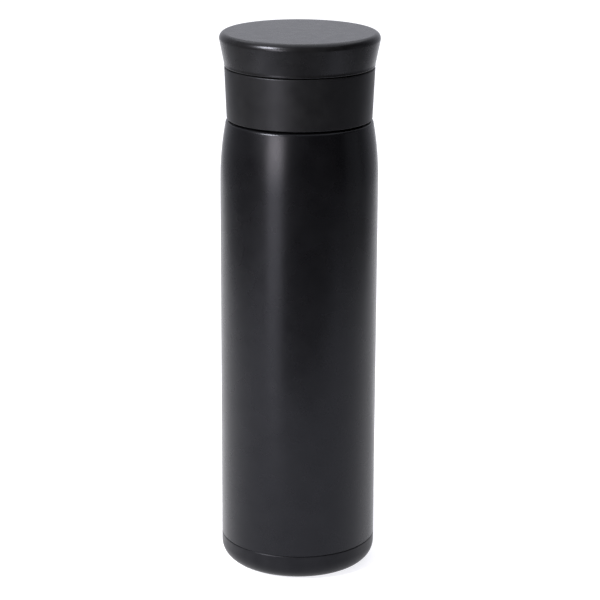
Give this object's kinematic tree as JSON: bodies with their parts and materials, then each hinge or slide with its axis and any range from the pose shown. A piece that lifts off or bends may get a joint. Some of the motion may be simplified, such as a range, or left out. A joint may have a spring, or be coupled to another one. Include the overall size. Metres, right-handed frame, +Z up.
{
  "type": "vacuum flask",
  "caption": "Slim upright double-wall steel vacuum flask with a curved shoulder, a screw-on drinking collar with a spout, and a flared screw lid with an insulated plug.",
  "frame": {"origin": "centre of the foot, on the surface that the flask stands on", "axes": "+Z up along the flask's axis, -Y towards the front of the body, +X to its right"},
  "size_m": [0.0678, 0.0678, 0.235],
  "materials": {
    "painted_body": "satin black baked paint",
    "liner_steel": "fine circumferential brushing",
    "plain_steel": "plain rolled sheet",
    "copper_foil": "thin copper foil",
    "solder_glass": "opaque solder glass",
    "getter_pill": "pressed metal powder",
    "base_plastic": "satin",
    "pad_silicone": "matt silicone",
    "seal_silicone": "translucent grey silicone",
    "collar_plastic": "fine matt",
    "mouth_plastic": "satin",
    "lid_plastic": "fine matt",
    "foam": "closed-cell foam"
  },
  "bodies": {
    "flask": {"outer_shell": "painted_body", "inner_liner": "liner_steel", "liner_base": "liner_steel", "heat_shield": "copper_foil", "vacuum_base_plate": "plain_steel", "seal_bead": "solder_glass", "getter": "getter_pill", "getter_clip": "plain_steel", "base_cup": "base_plastic", "base_pad": "pad_silicone"},
    "collar_seal": {"neck_gasket": "seal_silicone"},
    "collar": {"collar_sleeve": "collar_plastic", "mouthpiece": "mouth_plastic"},
    "lid_seal": {"plug_gasket": "seal_silicone"},
    "lid": {"lid_shell": "lid_plastic", "lid_core": "mouth_plastic", "plug_cap": "mouth_plastic", "plug_foam": "foam"}
  },
  "joints": [
    {"name": "collar_lift", "type": "slide", "parent": "flask", "child": "collar_seal", "axis": [0, 0, 1], "range_m": [0, 0.024]},
    {"name": "collar_turn", "type": "hinge", "parent": "collar_seal", "child": "collar", "pos_m": [0, 0, 0.205], "axis": [0, 0, 1], "range_deg": [0, 1080]},
    {"name": "lid_lift", "type": "slide", "parent": "collar", "child": "lid_seal", "axis": [0, 0, 1], "range_m": [0, 0.024]},
    {"name": "lid_turn", "type": "hinge", "parent": "lid_seal", "child": "lid", "pos_m": [0, 0, 0.225], "axis": [0, 0, 1], "range_deg": [0, 1080]}
  ],
  "couplings": [
    {"joint": "collar_lift", "follows": "collar_turn", "m_per_rad": 0.0012732},
    {"joint": "lid_lift", "follows": "lid_turn", "m_per_rad": 0.0012732}
  ]
}
